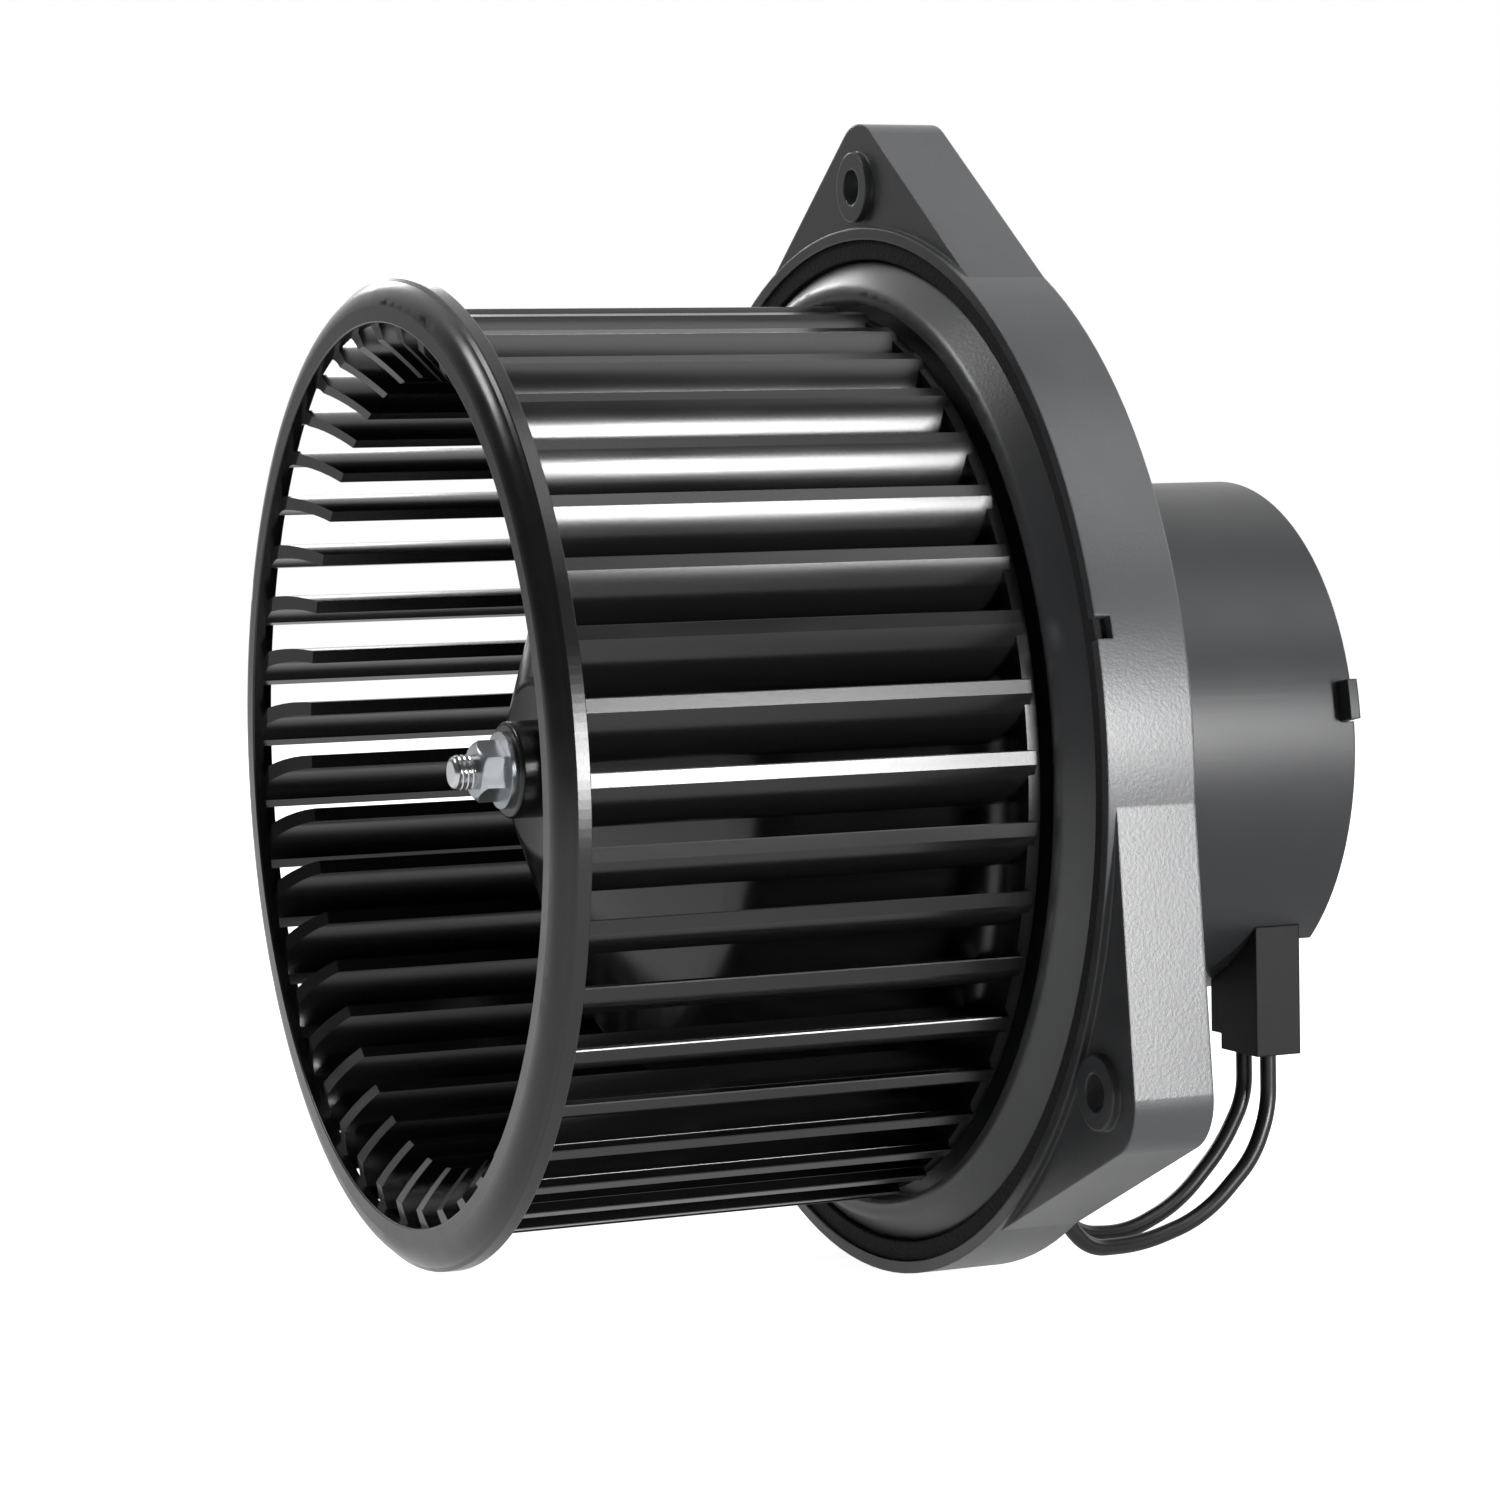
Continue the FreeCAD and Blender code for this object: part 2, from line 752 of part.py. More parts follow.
def make_flange():
    """Tray with a skirt, a raised collar round the wheel, three lugs and ribs behind."""
    lip = sleeve_bore_r + sleeve_wall
    boss_end = bracket_start - isolator_flange
    skirt = flange_prism(0, lug_drop, flange_depth).cut(flange_prism(skirt_wall, web_rear, flange_depth + 1))
    floor_cut = tube(lug_drop - 1, web_front, flange_r - skirt_wall)
    rim = tube(0, web_rear, flange_r, flange_r - skirt_wall)
    plate = skirt.cut(floor_cut).fuse(rim)
    collar = revolved([
        (web_rear, collar_bore_r),
        (-collar_rise, collar_bore_r),
        (-collar_rise, collar_r - collar_slope),
        (collar_drop, collar_r),
        (web_rear, collar_r),
    ], [0, 0.8, 2.2, 1.2, 0])
    hollow = revolved([
        (web_rear + 1, collar_bore_r + collar_wall),
        (collar_wall - collar_rise, collar_bore_r + collar_wall),
        (collar_drop + collar_wall, collar_r - collar_wall),
        (web_rear + 1, collar_r - collar_wall),
    ])
    pads = ring_of(peg(0, web_rear, pad_d / 2, 0, screw_circle_r), lug_count)
    holes = ring_of(peg(-1, flange_depth, lug_hole_d / 2, 0, screw_circle_r), lug_count)
    sleeve = tube(web_front, flange_depth - sleeve_setback, lip)
    bosses = ring_of(peg(web_front, boss_end, boss_d / 2, 0, mount_circle_r), ear_count, ear_phase)
    plate = plate.fuse([collar, sleeve] + pads + bosses)
    plate = plate.cut([hollow, tube(-collar_rise, flange_depth, sleeve_bore_r)])
    rib = block(web_front, web_rear + rib_height, -rib_wall / 2, rib_wall / 2,
                lip - sleeve_wall / 2, flange_r - skirt_wall / 2)
    ribs = []
    for angle in range(0, 360, rib_step):
        # none where a boss is, or where the leads' socket is
        at_boss = (angle - ear_phase) % (360 // ear_count) == 0
        if not at_boss and not rib_gap[0] < angle < rib_gap[1]:
            ribs.append(turned(rib, angle))
    pilots = ring_of(peg(web_front + pilot_floor, flange_depth, motor_screw_d / 2, 0, mount_circle_r),
                     ear_count, ear_phase)
    drain = block(-1, web_front - drain_wall, -drain_width / 2, drain_width / 2,
                  flange_r - skirt_wall - seal_clearance, flange_r + 1)
    return plate.fuse(ribs).cut(pilots + holes + [turned(drain, drain_angle)]).removeSplitter()


def make_flange_seal():
    """Ring of black foam in the groove between the collar and the rim."""
    return tube(seal_drop, web_front, flange_r - skirt_wall - seal_clearance,
                collar_r + seal_clearance)


# Motor mounting

def make_bracket():
    """Steel band round the shell with three ears."""
    band = tube(bracket_start, bracket_start + bracket_width, can_r + bracket_wall, can_r)
    reach = mount_circle_r
    ear = block(bracket_start, bracket_start + ear_wall, -ear_width / 2, ear_width / 2, can_r - 2, reach)
    ear = ear.fuse(peg(bracket_start, bracket_start + ear_wall, ear_width / 2, 0, reach))
    ear = ear.cut(tube(bracket_start, bracket_start + ear_wall, can_r))
    hole = peg(bracket_start - 1, bracket_start + ear_wall + 1, isolator_neck / 2, 0, reach)
    ears = ring_of(ear.cut(hole), ear_count, ear_phase)
    return band.fuse(ears).removeSplitter()


def make_isolators():
    """Rubber grommets in the bracket's ears."""
    front = bracket_start - isolator_flange
    rear = bracket_start + ear_wall + isolator_flange
    bore = motor_screw_d / 2 + screw_clearance
    grommet = revolved([
        (front, bore),
        (front, isolator_od / 2),
        (bracket_start, isolator_od / 2),
        (bracket_start, isolator_neck / 2),
        (bracket_start + ear_wall, isolator_neck / 2),
        (bracket_start + ear_wall, isolator_od / 2),
        (rear, isolator_od / 2),
        (rear, bore),
    ], [0, 0.8, 0, 0, 0, 0, 0.8, 0])
    grommet.translate(V(0, 0, mount_circle_r))
    return ring_of(grommet, ear_count, ear_phase)


def make_motor_screws():
    """Pan-head screws through the isolators into the flange's bosses."""
    seat = bracket_start + ear_wall + isolator_flange
    point = web_front + screw_point_gap
    shank = revolved([
        (point, 0),
        (point, motor_screw_d / 2 - screw_point_length),
        (point + screw_point_length, motor_screw_d / 2),
        (seat, motor_screw_d / 2),
        (seat, screw_head_d / 2),
        (seat + screw_head_height, screw_head_d / 2 - 0.6),
        (seat + screw_head_height, 0),
    ], [0, 0, 0, 0, 0, 1.0, 0])
    bar = recess_width / 2
    arm = screw_head_d / 4
    floor_x = seat + recess_floor
    end_x = seat + screw_head_height + 1
    upright = block(floor_x, end_x, -bar, bar, -arm, arm)
    screw = shank.cut([upright, turned(upright, 90)])
    screw.translate(V(0, 0, mount_circle_r))
    return ring_of(screw, ear_count, ear_phase)


# Electrical connection

def block_span():
    """Where the connector block lies along the shaft, and its lower face."""
    rear = can_tail - block_tail_gap
    return rear - block_length, rear, -can_r - block_drop


def make_connector_block():
    """Moulded block under the tail of the shell; its tongue passes the shell's rim to the brush card."""
    x0, x1, floor_z = block_span()
    half = block_width / 2
    body = block(x0, x1, block_y - half, block_y + half, floor_z, block_shoulder_z)
    body = body.cut(tube(x0 - 1, x1 + 1, can_r + shell_clearance))
    key = block(x0 - 1, x1 + 1, block_y + half - key_width, block_y + half + 1,
                floor_z - 1, floor_z + key_depth)
    tongue = block(x1 - tongue_length, cap_front - tongue_setback, block_y - tongue_width / 2,
                   block_y + tongue_width / 2, -can_r, tongue_top_z)
    latch = block(x1, x1 + latch_reach, block_y - latch_width / 2, block_y + latch_width / 2,
                  floor_z + latch_rise, floor_z + latch_rise + latch_height)
    slots = [terminal_box(side, holder_clearance) for side in (-1, 1)]
    return body.cut(key).fuse([tongue, latch]).cut(slots).removeSplitter()


def terminal_place(side):
    """Middle of a terminal's foot: side is -1 for the outer lead and 1 for the inner one."""
    x0, x1, floor_z = block_span()
    return V((x0 + x1) / 2 - side * terminal_stagger / 2, block_y + side * terminal_pitch / 2, floor_z)


def terminal_box(side, clearance):
    foot = terminal_place(side)
    half_width = terminal_width / 2 + clearance
    half_wall = terminal_wall / 2 + clearance
    return block(foot.x - half_width, foot.x + half_width, foot.y - half_wall, foot.y + half_wall,
                 foot.z, foot.z + terminal_height + clearance)


def make_terminals():
    """Two brass blades in the block, one for each lead."""
    return [terminal_box(side, 0) for side in (-1, 1)]


def lead_route(which):
    """Corners of a lead's route from the block, down and forward in a loop, up into the socket."""
    if which == "outer":
        side, shares, sag, stub = -1, outer_loop, outer_sag, outer_stub
    else:
        side, shares, sag, stub = 1, inner_loop, inner_sag, inner_stub
    foot = terminal_place(side)
    entry = V(lead_entry_x, socket_y + side * lead_spread / 2, socket_floor_z)
    loop = []
    for along, across, low in shares:
        x = foot.x + along * (entry.x - foot.x)
        y = foot.y + across * (entry.y - foot.y)
        loop.append(V(x, y, foot.z - low * sag))
    return [foot, foot - V(0, 0, stub)] + loop + [entry - V(0, 0, stub), entry]


def make_lead(which):
    """Insulated lead, straight runs joined by tangent arcs."""
    points = lead_route(which)
    radii = [0.0] * len(points)
    for i in range(1, len(points) - 1):
        back = points[i - 1] - points[i]
        ahead = points[i + 1] - points[i]
        half_turn = (math.pi - back.getAngle(ahead)) / 2
        radii[i] = 0.45 * min(back.Length, ahead.Length) / math.tan(half_turn)
    path = Part.Wire(rounded_edges(points, radii, False))
    heading = points[1] - points[0]
    section = Part.Wire(Part.makeCircle(lead_d / 2, points[0], heading))
    tube_solid = path.makePipeShell([section], True, False)
    ideal = math.pi * lead_d ** 2 / 4 * path.Length
    print(which, "lead: length %.1f" % path.Length, "radii", [round(r, 1) for r in radii[1:-1]],
          "volume over section times length %.4f" % (tube_solid.Volume / ideal))
    return tube_solid


def socket_span():
    half = socket_width / 2
    return web_rear, web_rear + socket_length, socket_y - half, socket_y + half


def make_lead_socket():
    """Two-way socket on the back of the flange, open to the rear, where the leads end."""
    x0, x1, y0, y1 = socket_span()
    z0 = socket_floor_z
    z1 = z0 + socket_height
    shell = block(x0, x1, y0, y1, z0, z1)
    hollow = block(x0 + socket_sole, x1 + 1, y0 + socket_wall, y1 - socket_wall,
                   z0 + socket_sole, z1 - socket_wall)
    return shell.cut(hollow)


def make_socket_pins():
    """Two flat pins that stand up in the socket."""
    x0, x1, y0, y1 = socket_span()
    middle_z = socket_floor_z + (socket_height + socket_sole - socket_wall) / 2
    pins = []
    for side in (-1, 1):
        y = socket_y + side * lead_spread / 2
        pins.append(block(x0 + socket_sole, x1 - pin_setback, y - pin_width / 2, y + pin_width / 2,
                          middle_z - pin_wall / 2, middle_z + pin_wall / 2))
    return pins


def write(name, shape):
    solids = []
    for piece in shape if isinstance(shape, list) else [shape]:
        solids.extend(piece.Solids)
    result = solids[0] if len(solids) == 1 else Part.makeCompound(solids)
    result.exportStep("parts/" + name + ".step")


os.makedirs("parts", exist_ok=True)

write("fan_wheel", make_fan_wheel())
write("hub_washer", make_hub_washer())
write("hub_nut", make_hub_nut())
write("shaft", make_shaft())
write("armature_core", make_armature_core())
write("armature_windings", make_windings())
write("core_spider_front", make_spider(core_front - spider_wall))
write("core_spider_rear", make_spider(core_rear))
write("commutator", make_commutator())
write("thrust_washer_front", make_thrust_washer(front_washer))
write("thrust_washer_rear", make_thrust_washer(rear_washer))

write("flange", make_flange())
write("flange_seal", make_flange_seal())
write("motor_can", make_motor_can())
write("tail_cap", make_tail_cap())
write("bearing_front", make_bearing(front_seat))
write("bearing_rear", make_bearing(rear_seat - bearing_length))
write("bearing_retainer_front", make_retainer(can_front + can_wall + retainer_wall, 1))
write("bearing_retainer_rear", make_retainer(cap_front - retainer_wall, -1))
write("magnet_upper", make_magnet(True))
write("magnet_lower", make_magnet(False))
write("magnet_clips", make_magnet_clips())
write("brush_card", make_brush_card())
write("brush_upper", make_brush(0))
write("brush_lower", make_brush(180))
write("brush_spring_upper", make_brush_spring(0))
write("brush_spring_lower", make_brush_spring(180))
write("motor_bracket", make_bracket())
write("isolators", make_isolators())
write("motor_screws", make_motor_screws())
write("connector_block", make_connector_block())
write("block_terminals", make_terminals())
write("lead_outer", make_lead("outer"))
write("lead_inner", make_lead("inner"))
write("lead_socket", make_lead_socket())
write("socket_pins", make_socket_pins())
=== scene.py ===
import math

import bmesh
import bpy
from mathutils import Matrix, Vector


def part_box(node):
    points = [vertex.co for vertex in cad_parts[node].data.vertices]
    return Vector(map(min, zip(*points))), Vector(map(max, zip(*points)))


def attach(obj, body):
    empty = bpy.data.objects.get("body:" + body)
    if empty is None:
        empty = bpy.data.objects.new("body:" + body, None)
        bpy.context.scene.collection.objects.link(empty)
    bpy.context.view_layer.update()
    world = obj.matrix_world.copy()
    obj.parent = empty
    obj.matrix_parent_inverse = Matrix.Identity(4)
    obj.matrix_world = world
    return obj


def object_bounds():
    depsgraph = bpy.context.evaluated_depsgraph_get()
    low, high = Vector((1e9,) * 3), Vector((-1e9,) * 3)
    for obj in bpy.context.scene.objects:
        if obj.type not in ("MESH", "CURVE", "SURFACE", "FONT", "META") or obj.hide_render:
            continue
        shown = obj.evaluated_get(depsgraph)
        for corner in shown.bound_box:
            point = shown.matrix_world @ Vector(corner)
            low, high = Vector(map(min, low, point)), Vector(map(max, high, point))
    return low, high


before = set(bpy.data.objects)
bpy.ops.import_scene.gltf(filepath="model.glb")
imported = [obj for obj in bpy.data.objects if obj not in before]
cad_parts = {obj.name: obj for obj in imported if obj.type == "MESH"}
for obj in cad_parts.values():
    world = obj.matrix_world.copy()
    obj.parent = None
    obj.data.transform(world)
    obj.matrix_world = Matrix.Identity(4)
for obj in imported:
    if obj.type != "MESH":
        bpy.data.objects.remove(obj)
cad_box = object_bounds()
scene = bpy.context.scene
scene.view_settings.view_transform = "Standard"


# Camera
# The photograph is taken from the inlet side, a little above the shaft, with a long lens
# and the picture turned about one degree.
right = Vector((0.91779, -0.39651, -0.02078))
up = Vector((0.04671, 0.05586, 0.99735))
ahead = Vector((0.39430, 0.91633, -0.06979))
camera_data = bpy.data.cameras.new("camera")
camera_data.lens = 101.1
camera_data.sensor_width = 36.0
camera_data.clip_start = 0.01
camera_data.clip_end = 20.0
camera = bpy.data.objects.new("camera", camera_data)
scene.collection.objects.link(camera)
turn = Matrix((right, up, -ahead)).transposed().to_4x4()
camera.matrix_world = Matrix.Translation((-0.27051, -0.58537, 0.04573)) @ turn
scene.camera = camera


# Studio
# A white table that runs back to a white wall, and a tall soft lamp to the right of the camera,
# a little above the shaft. Weaker ones stand overhead, behind the motor and off its tail. The
# room on the camera's side is dark, so only the lamps show in the gloss there.
def linear(code):
    """An sRGB hex colour as linear red, green, blue and alpha."""
    parts = [int(code[i:i + 2], 16) / 255 for i in (1, 3, 5)]
    return [p / 12.92 if p <= 0.04045 else ((p + 0.055) / 1.055) ** 2.4 for p in parts] + [1.0]


def add(tree, kind, values=None, links=None, **settings):
    """Adds one shader node: its settings, the values on its sockets, and what feeds them."""
    made = tree.nodes.new("ShaderNode" + kind)
    for name, value in settings.items():
        setattr(made, name, value)
    for socket, value in (values or {}).items():
        made.inputs[socket].default_value = value
    for socket, source in (links or {}).items():
        tree.links.new(source, made.inputs[socket])
    return made


room = bpy.data.worlds.new("white_room")
room.use_nodes = True
tree = room.node_tree
tree.nodes.clear()
path = add(tree, "LightPath")
# the wall's light falls from behind and above, so gloss shows it white that way and dim elsewhere
way = add(tree, "TexCoord")
wall_direction = (0.35, 0.75, 0.56)
to_wall = add(tree, "VectorMath", values={1: wall_direction}, links={0: way.outputs["Generated"]},
              operation="DOT_PRODUCT")
wall = add(tree, "MapRange", links={"Value": to_wall.outputs["Value"]},
           values={"From Min": 0.5, "From Max": 0.85, "To Min": 0.06, "To Max": 1.0})
mirrored = add(tree, "Math", operation="MULTIPLY",
               links={0: path.outputs["Is Glossy Ray"], 1: wall.outputs[0]})
clear = add(tree, "Math", operation="ADD",
            links={0: path.outputs["Is Camera Ray"], 1: path.outputs["Is Transmission Ray"]})
seen = add(tree, "Math", links={0: mirrored.outputs[0], 1: clear.outputs[0]}, operation="ADD")
fill_light = 0.10
level = add(tree, "Math", values={1: fill_light}, links={0: seen.outputs[0]}, operation="MAXIMUM")
backdrop = add(tree, "Background", values={"Color": linear("#ffffff")},
               links={"Strength": level.outputs[0]})
add(tree, "OutputWorld", links={"Surface": backdrop.outputs[0]})
scene.world = room


def mesh_object(name, mesh, material, smooth=True):
    """Turns a bmesh into an object in the scene."""
    data = bpy.data.meshes.new(name)
    mesh.to_mesh(data)
    mesh.free()
    data.polygons.foreach_set("use_smooth", [smooth] * len(data.polygons))
    data.materials.append(material)
    made = bpy.data.objects.new(name, data)
    scene.collection.objects.link(made)
    return made


white_table = bpy.data.materials.new("white_table")
white_table.use_nodes = True
tree = white_table.node_tree
tree.nodes.clear()
path = add(tree, "LightPath")
paper = add(tree, "BsdfDiffuse", values={"Color": linear("#f4f4f4")})
glow = add(tree, "Emission", values={"Color": linear("#ffffff"), "Strength": 0.93})
lit = add(tree, "AddShader", links={0: paper.outputs[0], 1: glow.outputs[0]})
# gloss shows the table pale in front of the flange, and dim behind it, where a painted shade, set
# by place, stands in for the motor's own shadow
spot = add(tree, "SeparateXYZ", links={0: add(tree, "TexCoord").outputs["Object"]})
table_gloss_painted_shade = add(tree, "MapRange", links={"Value": spot.outputs["X"]},
                 values={"From Min": 0.035, "From Max": 0.0, "To Min": 0.04, "To Max": 0.5})
mirrored = add(tree, "Math", operation="MULTIPLY_ADD",
               links={0: path.outputs["Is Glossy Ray"], 1: table_gloss_painted_shade.outputs[0],
                      2: path.outputs["Is Camera Ray"]})
share = add(tree, "Math", operation="ADD",
            links={0: mirrored.outputs[0], 1: path.outputs["Is Transmission Ray"]})
either = add(tree, "MixShader", links={0: share.outputs[0], 1: paper.outputs[0], 2: lit.outputs[0]})
add(tree, "OutputMaterial", links={"Surface": either.outputs[0]})
table_half = 3.0
table_gap = 0.0005
mesh = bmesh.new()
for x, y in ((-1, -1), (1, -1), (1, 1), (-1, 1)):
    mesh.verts.new((x * table_half, y * table_half, cad_box[0][2] - table_gap))
mesh.faces.new(mesh.verts)
mesh_object("table_top", mesh, white_table, smooth=False)

# each lamp's name, where it stands, its width and height in metres, and its watts
lamps = [
    ("lamp_side", (0.42, -1.18, 0.13), (0.16, 0.36), 15.5),
    ("lamp_high", (0.50, -0.50, 1.05), (0.50, 1.00), 4.0),
    ("lamp_over", (-0.75, 0.45, 0.95), (0.35, 0.30), 4.0),
    ("lamp_back", (0.12, 1.20, 0.55), (0.50, 0.30), 3.0),
    ("lamp_tail", (1.30, 0.10, 0.45), (0.50, 0.50), 3.0),
]
for name, stand, size, watts in lamps:
    lamp_data = bpy.data.lights.new(name, "AREA")
    lamp_data.shape = "RECTANGLE"
    lamp_data.size, lamp_data.size_y = size
    lamp_data.energy = watts
    lamp = bpy.data.objects.new(name, lamp_data)
    scene.collection.objects.link(lamp)
    lamp.location = stand
    lamp.rotation_euler = (-Vector(stand)).to_track_quat("-Z", "Y").to_euler()


# Fan wheel
# One moulding in black talc-filled polypropylene: front ring, curved blades, domed disc and hub.
# It leaves a polished tool, so the blades shine in narrow strips along their length.
def surface(name, colour, roughness, edge_mm=0.0, **extra):
    """A material with one Principled shader: its tree, the shader, the place on the object in
    metres, and the normal, with sharp edges worn round by edge_mm."""
    material = bpy.data.materials.new(name)
    material.use_nodes = True
    tree = material.node_tree
    tree.nodes.clear()
    shader = add(tree, "BsdfPrincipled",
                 values={"Base Color": linear(colour), "Roughness": roughness})
    for socket, value in extra.items():
        shader.inputs[socket.replace("_", " ")].default_value = value
    add(tree, "OutputMaterial", links={"Surface": shader.outputs[0]})
    place = add(tree, "TexCoord").outputs["Object"]
    if edge_mm:
        edge = add(tree, "Bevel", values={"Radius": edge_mm / 1000}, samples=4).outputs[0]
    else:
        edge = add(tree, "NewGeometry").outputs["Normal"]
    return material, tree, shader, place, edge


def dress(material, *names):
    """Gives CAD nodes a finish."""
    for name in names:
        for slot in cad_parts[name].material_slots:
            slot.material = material


wheel_black, tree, shader, place, edge = surface("moulded_black_polypropylene", "#131314", 0.24)
# the melt flows along the blades and leaves streaks some 5 mm wide and 30 mm long in the gloss
streaks = add(tree, "Mapping", values={"Scale": (0.16, 1.0, 1.0)}, links={"Vector": place})
flow = add(tree, "TexNoise", values={"Scale": 200.0, "Detail": 2.0, "Roughness": 0.5},
           links={"Vector": streaks.outputs[0]})
gloss = add(tree, "MapRange", links={"Value": flow.outputs["Fac"]},
            values={"From Min": 0.3, "From Max": 0.7, "To Min": 0.20, "To Max": 0.27})
tree.links.new(gloss.outputs[0], shader.inputs["Roughness"])
# talc at the skin, drawn in grains of 0.5 mm so that it shows
talc = add(tree, "TexNoise", values={"Scale": 1900.0, "Detail": 2.0}, links={"Vector": place})
skin = add(tree, "Bump", values={"Strength": 0.04, "Distance": 0.0001},
           links={"Height": talc.outputs["Fac"], "Normal": edge})
tree.links.new(skin.outputs[0], shader.inputs["Normal"])
dress(wheel_black, "fan_wheel")


def band(mesh, first, second):
    """Joins two closed rows of points with a band of faces."""
    for i in range(len(first)):
        j = (i + 1) % len(first)
        mesh.faces.new((first[i], first[j], second[j], second[i]))


# each blade ends in a flat land, 2 mm wide, that faces straight out. The first tip's outer corner
# lies at tip_angle degrees from the top, and the whole wheel is turned on by blade_phase. The
# section's corners are given from there: how far outwards, and how far along the rim.
wheel_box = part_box("fan_wheel")
blade_count = 43
tip_angle = -94.54
blade_phase = 6.8
tip_corner_r = 0.06793
land_middle = -0.0010
land_profile = ((0.0, 0.0010), (0.0, -0.0009), (-0.00012, -0.00105), (-0.0019, 0.0001),
                (-0.00015, 0.00106))
land_front = wheel_box[0][0] + 0.0018
land_rear = wheel_box[1][0] - 0.0010
mesh = bmesh.new()
for k in range(blade_count):
    turned = tip_angle + blade_phase + 360 / blade_count * k
    angle = math.radians(turned) + land_middle / tip_corner_r
    outward = Vector((0.0, -math.sin(angle), math.cos(angle)))
    along = Vector((0.0, -math.cos(angle), -math.sin(angle)))
    ends = []
    for x in (land_front, land_rear):
        middle = Vector((x, 0.0, 0.0)) + tip_corner_r * outward
        ends.append([mesh.verts.new(middle + rise * outward + aside * along)
                     for rise, aside in land_profile])
    band(mesh, ends[0], ends[1])
    mesh.faces.new(ends[0])
    mesh.faces.new(ends[1])
bmesh.ops.recalc_face_normals(mesh, faces=mesh.faces)
blade_lands = mesh_object("blade_lands", mesh, wheel_black, smooth=False)
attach(blade_lands, "rotor")

# the ring's side ends in a flat land too, 2 mm wide, where the tool parts. The section's corners
# are given from the ring's front and side: how far back, and how high.
ring_land_profile = ((0.0020, -0.00054), (0.0024, -0.00006), (0.0026, 0.00002), (0.0044, 0.00005),
                     (0.0045, 0.0), (0.0045, -0.0010), (0.0020, -0.0010))
ring_front = wheel_box[0][0]
ring_r = wheel_box[1][1]
ring_steps = 360
mesh = bmesh.new()
loops = []
for k in range(ring_steps):
    angle = 2 * math.pi * k / ring_steps
    outward = Vector((0.0, math.cos(angle), math.sin(angle)))
    loops.append([mesh.verts.new(Vector((ring_front + back, 0.0, 0.0)) + (ring_r + rise) * outward)
                  for back, rise in ring_land_profile])
for k in range(ring_steps):
    band(mesh, loops[k - 1], loops[k])
bmesh.ops.recalc_face_normals(mesh, faces=mesh.faces)
ring_land = mesh_object("ring_land", mesh, wheel_black, smooth=False)
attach(ring_land, "rotor")


# Hub metal and shaft
# A ground steel shaft with a zinc-plated washer and hexagon nut that clamp the wheel's hub.
# The shaft's end has a rolled thread, 0.8 mm from crest to crest.
ground_steel, tree, shader, place, edge = surface("ground_steel_shaft", "#c8c9cb", 0.22,
                                                  Metallic=1.0)
# grinding marks run round the shaft, drawn 0.4 mm apart so that they show
rings = add(tree, "TexWave", values={"Scale": 800.0, "Distortion": 0.6, "Detail": 2.0},
            links={"Vector": place}, bands_direction="X")
marks = add(tree, "Bump", values={"Strength": 0.06, "Distance": 0.00005},
            links={"Height": rings.outputs["Fac"], "Normal": edge})
tree.links.new(marks.outputs[0], shader.inputs["Normal"])
dress(ground_steel, "shaft")

zinc_plate, tree, shader, place, edge = surface("zinc_plated_steel", "#b4b7ba", 0.30, edge_mm=0.25,
                                                Metallic=1.0)
# spangle of the plating bath, about 1 mm across
spangle = add(tree, "TexNoise", values={"Scale": 900.0, "Detail": 4.0}, links={"Vector": place})
gloss = add(tree, "MapRange", values={"To Min": 0.22, "To Max": 0.42},
            links={"Value": spangle.outputs["Fac"]})
tree.links.new(gloss.outputs[0], shader.inputs["Roughness"])
tree.links.new(edge, shader.inputs["Normal"])
dress(zinc_plate, "hub_washer", "hub_nut", "motor_screws")

# the thread runs from the nut's face to just short of the shaft's end; its foot lies a little
# under the shaft's skin
thread_core_r = 0.00247
thread_crest = 0.00019
thread_foot = -0.0001
foot_share = 0.4
thread_pitch = 0.0008
thread_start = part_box("hub_nut")[0][0] - 0.0002
thread_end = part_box("shaft")[0][0] + 0.0007
turn_steps = 28
run_out = 8
rows = []
mesh = bmesh.new()
step_count = int((thread_start - thread_end) / thread_pitch * turn_steps)
for i in range(step_count):
    angle = 2 * math.pi * i / turn_steps
    # the crest runs out to nothing at both ends of the thread
    crest = thread_crest * min(1.0, i / run_out, (step_count - 1 - i) / run_out)
    x = thread_start - thread_pitch * i / turn_steps
    row = []
    for share, lift in ((-foot_share, thread_foot), (0.0, crest), (foot_share, thread_foot)):
        radius = thread_core_r + lift
        row.append(mesh.verts.new((x + share * thread_pitch, radius * math.sin(angle),
                                   radius * math.cos(angle))))
    rows.append(row)
for first, second in zip(rows, rows[1:]):
    band(mesh, first, second)
mesh.faces.new(rows[0])
mesh.faces.new(rows[-1])
bmesh.ops.recalc_face_normals(mesh, faces=mesh.faces)
shaft_thread = mesh_object("shaft_thread", mesh, ground_steel, smooth=False)
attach(shaft_thread, "rotor")


# Flange
# A tray moulded in grey mineral-filled polypropylene, open at the back, with the motor's sleeve,
# the ribs and three screw lugs in one piece. Its tool was eroded, so it has a fine grain all over.
flange_grey, tree, shader, place, edge = surface("moulded_grey_polypropylene", "#47484a", 0.30,
                                                 edge_mm=0.5)
# spark-eroded grain, drawn in pits of 0.5 mm so that it shows
grain = add(tree, "TexNoise", values={"Scale": 1900.0, "Detail": 3.0, "Roughness": 0.6},
            links={"Vector": place})
pits = add(tree, "Bump", values={"Strength": 0.13, "Distance": 0.00015},
           links={"Height": grain.outputs["Fac"], "Normal": edge})
tree.links.new(pits.outputs[0], shader.inputs["Normal"])
